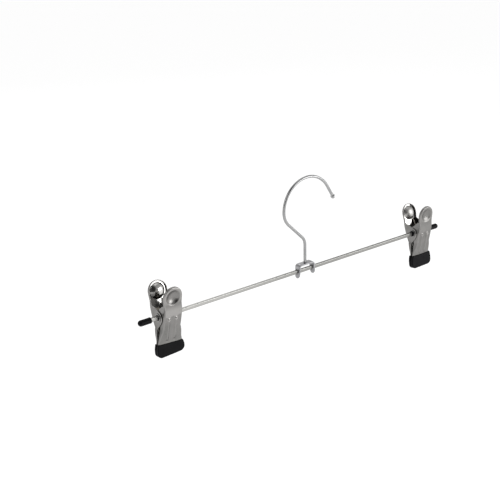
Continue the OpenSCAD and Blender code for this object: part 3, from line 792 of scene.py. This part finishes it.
# ------------------------------------------------------------------ pads
def build_pad(side, which):
    x0, swing = CLIPS[side]
    turn = 0 if which == "front" else 180
    sgn = 1 if which == "front" else -1
    zs = np.concatenate([PAD_TOP - np.array([0.0, 0.05, 0.16, 0.34, 0.6, 1.0]), np.linspace(PAD_TOP - 1.6, PAD_BOTTOM + 3.4, 16), PAD_BOTTOM + np.array([2.8, 2.2, 1.7, 1.25, 0.9, 0.6, 0.36, 0.18, 0.06, 0.0])])
    n_long, n_c = 40, 6
    rings = []
    phase = {"left": 0.4, "right": 2.1}[side] + (0 if which == "front" else 1.3)
    for z in zs:
        dt, db = PAD_TOP - z, z - PAD_BOTTOM
        # outline from the front: small top corners, large bottom ones
        hw = 10.45 + (PAD_HW + 0.45 - 10.45) * math.sin(math.pi / 2 * min(1.0, dt / 5.5))
        if db < 4.0:
            hw -= 4.2 - 4.2 * math.sqrt(max(0, 1 - (1 - db / 4.0) ** 2))
        if dt < 0.6:
            hw -= 0.45 * (1 - math.sqrt(max(0, 1 - (1 - dt / 0.6) ** 2)))
        yo = np.interp(z, [PAD_BOTTOM, PAD_BOTTOM + 1.6, PAD_TOP], [-2.3, -2.4, -2.5])
        yi = np.interp(z, [PAD_BOTTOM, -24.5, PAD_TOP], [-0.06, -0.06, -0.45])
        # thicker lip where the dip ends
        lip = 0.10 * math.exp(-((dt - 0.9) / 0.7) ** 2)
        yo -= lip
        cy, hy = (yo + yi) / 2, (yi - yo) / 2
        if dt < 0.6:
            hy *= 0.55 + 0.45 * math.sqrt(max(0, 1 - (1 - dt / 0.6) ** 2))
        if db < 0.9:
            hy *= 0.45 + 0.55 * math.sqrt(max(0, 1 - (1 - db / 0.9) ** 2))
        rc = min(0.72, hy * 0.96)
        pts = []
        for ci, (sx, sy, a0) in enumerate(((1, 1, 0), (-1, 1, 90), (-1, -1, 180), (1, -1, 270))):
            for k in range(n_c + 1):
                th = math.radians(a0 + 90 * k / n_c)
                pts.append((sx * (hw - rc) + rc * math.cos(th), cy + sy * (hy - rc) + rc * math.sin(th)))
            if ci in (0, 2):
                xa = pts[-1][0]
                for k in range(1, n_long):
                    pts.append((xa - 2 * xa * k / n_long, cy + sy * hy))
        arr = []
        for px, py in pts:
            zz = z
            # the dip line climbs a little at the side edges and wanders slightly
            climb = (0.45 * (abs(px) / PAD_HW) ** 6 + 0.035 * math.sin(px * 0.9 + phase) + 0.02 * math.sin(px * 2.3 + phase * 2)) - 0.2
            zz += climb * smooth((z - PAD_TOP + 4) / 4)
            # no two pairs were dipped quite alike
            dt_, sl_, db_, sb_ = {"left": (-1.7, -0.06, 0.85, 0.045), "right": (-0.6, 0.0, 0.15, 0.02)}[side]
            zz += (dt_ + sl_ * px * sgn) * smooth((z - PAD_TOP + 8) / 8) + (db_ + sb_ * px * sgn) * smooth((PAD_BOTTOM + 8 - z) / 8)
            # outer face: shallow hollow between the two beads' print
            if py < cy:
                py -= 0.05 * math.exp(-((abs(px) - 3.05) / 1.0) ** 2) * smooth((z + 26) / 4)
                py += 0.035 * math.sin(px * 0.55 + z * 0.31 + phase)
            arr.append((px, py, zz))
        rings.append(arr)
    n = len(rings[0])
    v = np.array(rings).reshape(-1, 3)
    f = ring_faces(len(rings), n)
    # ends closed by quads between the two long faces
    half = n // 2
    for r0 in (0, len(rings) - 1):
        b = r0 * n
        order = list(range(n))
        for k in range(half - 1):
            a1, a2 = b + k, b + k + 1
            c2, c1 = b + (n - 2 - k) % n, b + (n - 1 - k) % n
            f.append((a1, a2, c2, c1) if r0 else (a1, c1, c2, a2))
    f = outward(v, f)
    o = mesh_object(side + "_" + which + "_pad_dipped", hung(v, x0, swing, turn), f, None)
    return finish_piece(o, M_PAD, side + "_" + which, [side + "_" + which + "_pad"])


# ------------------------------------------------------------------ pivot: sleeve, bush, spring
def build_sleeve(side):
    x0, _ = CLIPS[side]
    h = NECK_OUT + 0.1
    ri, ro = BUSH_R + 0.01, SLEEVE_R
    loop = []
    # outside, left to right
    loop += [(-h + 0.02, ro), (-h / 2, ro), (0, ro), (h / 2, ro), (h - 0.02, ro)]
    # rolled rim on the right
    loop += [(h, ro + 0.25), (h + 0.01, ro + 0.45)]
    for k in range(9):
        th = math.radians(180 - 22.5 * k)
        loop.append((h + 0.2 + 0.19 * math.cos(th), 3.0 + 0.19 * math.sin(th)))
    loop += [(h + 0.4, ro + 0.3), (h + 0.39, ro), (h + 0.34, ri + 0.08), (h + 0.22, ri)]
    loop += [(h / 2, ri), (0, ri), (-h / 2, ri)]
    loop += [(-h - 0.22, ri), (-h - 0.34, ri + 0.08), (-h - 0.39, ro), (-h - 0.4, ro + 0.3)]
    for k in range(9):
        th = math.radians(0 + 22.5 * k)
        loop.append((-h - 0.2 + 0.19 * math.cos(th), 3.0 + 0.19 * math.sin(th)))
    loop += [(-h - 0.01, ro + 0.45), (-h, ro + 0.25)]
    # the left rim's arc runs from its outer side to its inner one
    left = loop[-11:-2]
    loop[-11:-2] = left[::-1] if left[0][0] > left[-1][0] else left
    v, f = lathe_x(loop, 48, close=True)
    f = outward(v, f)
    o = mesh_object(side + "_pivot_sleeve_rolled", place(v, x0), f, 40)
    return finish_piece(o, M_SLEEVE, side + "_carriage", [side + "_pivot_sleeve"])


def build_bush(side):
    x0, _ = CLIPS[side]
    s = 1 if side == "left" else -1
    h = NECK_OUT + 0.1
    r = BUSH_R - 0.02
    prof_ = [(-h - 0.38, 1.3), (-h - 0.4, r - 0.2), (-h - 0.35, r - 0.06), (-h - 0.2, r), (h + 0.38, r), (h + 0.42, 2.2), (h + 0.5, 2.31), (h + 0.65, 2.34), (h + 1.05, 2.34), (h + 1.2, 2.28), (h + 1.29, 2.1), (h + 1.3, 1.3)]
    v, f = lathe_x(prof_, 40)
    v[:, 0] *= s
    f = outward(v, f)
    o = mesh_object(side + "_bush_moulded", place(v, x0), f, 40)
    # bore for the bar
    a, b = BAR_T / 2 + 0.06, BAR_H / 2 + 0.06
    rr = 0.5
    sec = []
    for cx, cz, a0 in ((a - rr, b - rr, 0), (-a + rr, b - rr, 90), (-a + rr, -b + rr, 180), (a - rr, -b + rr, 270)):
        for k in range(5):
            th = math.radians(a0 + 22.5 * k)
            sec.append((cx + rr * math.cos(th), cz + rr * math.sin(th)))
    cv = np.array([(x, y, z) for x in (-12, 12) for y, z in sec])
    ns = len(sec)
    cf = ring_faces(2, ns) + [tuple(range(ns - 1, -1, -1)), tuple(range(ns, 2 * ns))]
    c = mesh_object("cut_bore", place(cv, x0), outward(cv, cf))
    cut(o, [c], 40)
    return finish_piece(o, M_CAP, side + "_carriage", [side + "_bush"])


def build_spring(side):
    x0, swing = CLIPS[side]
    rw, rc, hx, turns, leg_a, leg_l = 0.5, 3.3, 3.0, 5, math.radians(24), 12.4
    sweep = math.radians(turns * 360 + 132)
    n = 240
    a0 = math.pi + leg_a
    t = np.linspace(0, 1, n)
    coil = np.stack([-hx + 2 * hx * t, rc * np.cos(a0 + sweep * t), rc * np.sin(a0 + sweep * t)], 1)
    v, f = tube(coil, rw, (1, 0, 0), 14)
    o = mesh_object(side + "_spring_coil", hung(v, x0, swing), outward(v, f), 50)
    finish_piece(o, M_SPRING, side + "_swing_body", [side + "_spring"])
    # each leg starts on the coil's last sixth of a turn, so it can turn with its jaw and still lie on the coil
    for s, which in ((-1, "front"), (1, "back")):
        ang = a0 if s < 0 else a0 + sweep
        arc = [(s * hx, rc * math.cos(ang - s * q), rc * math.sin(ang - s * q)) for q in np.linspace(math.radians(62), 0, 12)]
        end_c = np.array(arc[-1])
        d = np.array([0, s * math.sin(leg_a), math.cos(leg_a)])
        leg = [tuple(end_c + d * q) for q in np.linspace(0.5, leg_l - 0.15, 12)]
        pts = np.array(arc + leg)
        rad = np.full(len(pts), rw - 0.015)
        tip = np.array([pts[-1] + d * 0.06, pts[-1] + d * 0.11])
        pts = np.vstack([pts, tip]); rad = np.concatenate([rad, [rw * 0.85, rw * 0.6]])
        v, f = tube(pts, rad, (1, 0, 0), 14)
        o = mesh_object(side + "_spring_leg_" + which, hung(v, x0, swing), outward(v, f), 50)
        finish_piece(o, M_SPRING, side + "_" + which, [])


build_bar()
build_yoke()
build_hook()
for side in ("left", "right"):
    build_cap(side)
    build_sleeve(side)
    build_bush(side)
    build_spring(side)
    for which in ("front", "back"):
        build_jaw(side, which)
        build_pad(side, which)

# ------------------------------------------------------------------ floor, light
fm = bpy.data.materials.new("floor_white")
fm.use_nodes = True
fb = fm.node_tree.nodes["Principled BSDF"]
fb.inputs["Base Color"].default_value = (0.35, 0.35, 0.35, 1)
fb.inputs["Roughness"].default_value = 0.9
fb.inputs["Specular IOR Level"].default_value = 0.2
fb.inputs["Emission Color"].default_value = (1, 1, 1, 1)
fb.inputs["Emission Strength"].default_value = 0.84
fme = bpy.data.meshes.new("floor")
fme.from_pydata([(-9, -9, -0.30), (9, -9, -0.30), (9, 9, -0.30), (-9, 9, -0.30)], [], [(0, 1, 2, 3)])
floor = bpy.data.objects.new("floor", fme)
fme.materials.append(fm)
scene.collection.objects.link(floor)

world = bpy.data.worlds.new("studio")
scene.world = world
world.use_nodes = True
wn = world.node_tree
bg = wn.nodes["Background"]
tc = wn.nodes.new("ShaderNodeTexCoord")
sep = wn.nodes.new("ShaderNodeSeparateXYZ")
wn.links.new(tc.outputs["Generated"], sep.inputs[0])
mr = wn.nodes.new("ShaderNodeMapRange")
mr.inputs["From Min"].default_value = -1
mr.inputs["From Max"].default_value = 1
wn.links.new(sep.outputs["Z"], mr.inputs["Value"])
wr = ramp(wn, mr.outputs["Result"], [(0.0, 0.95), (0.54, 0.95), (0.62, 0.74), (0.70, 0.50), (0.82, 0.40), (1.0, 0.32)])
# the unlit side of the room, low at the front left
dot = wn.nodes.new("ShaderNodeVectorMath")
dot.operation = "DOT_PRODUCT"
dot.inputs[1].default_value = (-0.60, -0.66, 0.45)
wn.links.new(tc.outputs["Generated"], dot.inputs[0])
dark = ramp(wn, dot.outputs["Value"], [(0.65, 1.0), (0.85, 0.06)])
room = mix(wn, 1.0, wr, dark, "MULTIPLY")
# behind the object the backdrop is the same plain pale tone all round
lp = wn.nodes.new("ShaderNodeLightPath")
wn.links.new(mix(wn, lp.outputs["Is Camera Ray"], room, (0.99, 0.99, 0.99)), bg.inputs["Color"])
bg.inputs["Strength"].default_value = 1.0


def area(name, loc, target, size, power, size_y=None):
    li = bpy.data.lights.new(name, "AREA")
    li.energy = power
    li.shape = "RECTANGLE" if size_y else "SQUARE"
    li.size = size
    if size_y:
        li.size_y = size_y
    o = bpy.data.objects.new(name, li)
    o.location = loc
    d = Vector(target) - Vector(loc)
    o.rotation_euler = d.to_track_quat("-Z", "Y").to_euler()
    o.visible_camera = False
    scene.collection.objects.link(o)
    return o


area("panel", (0.78, -0.92, 0.14), (0, 0, 0.0), 0.9, 5.5, 0.5)
area("top", (0.3, 0.2, 1.3), (0, 0, -0.05), 1.7, 4.5)
area("left", (-1.3, -0.2, 0.75), (0, 0, -0.05), 1.0, 4)
area("back", (0.4, 1.3, 0.9), (0, 0, -0.05), 1.3, 4)

scene.view_settings.view_transform = "Standard"
scene.view_settings.look = "None"
scene.view_settings.exposure = 0
scene.view_settings.gamma = 1
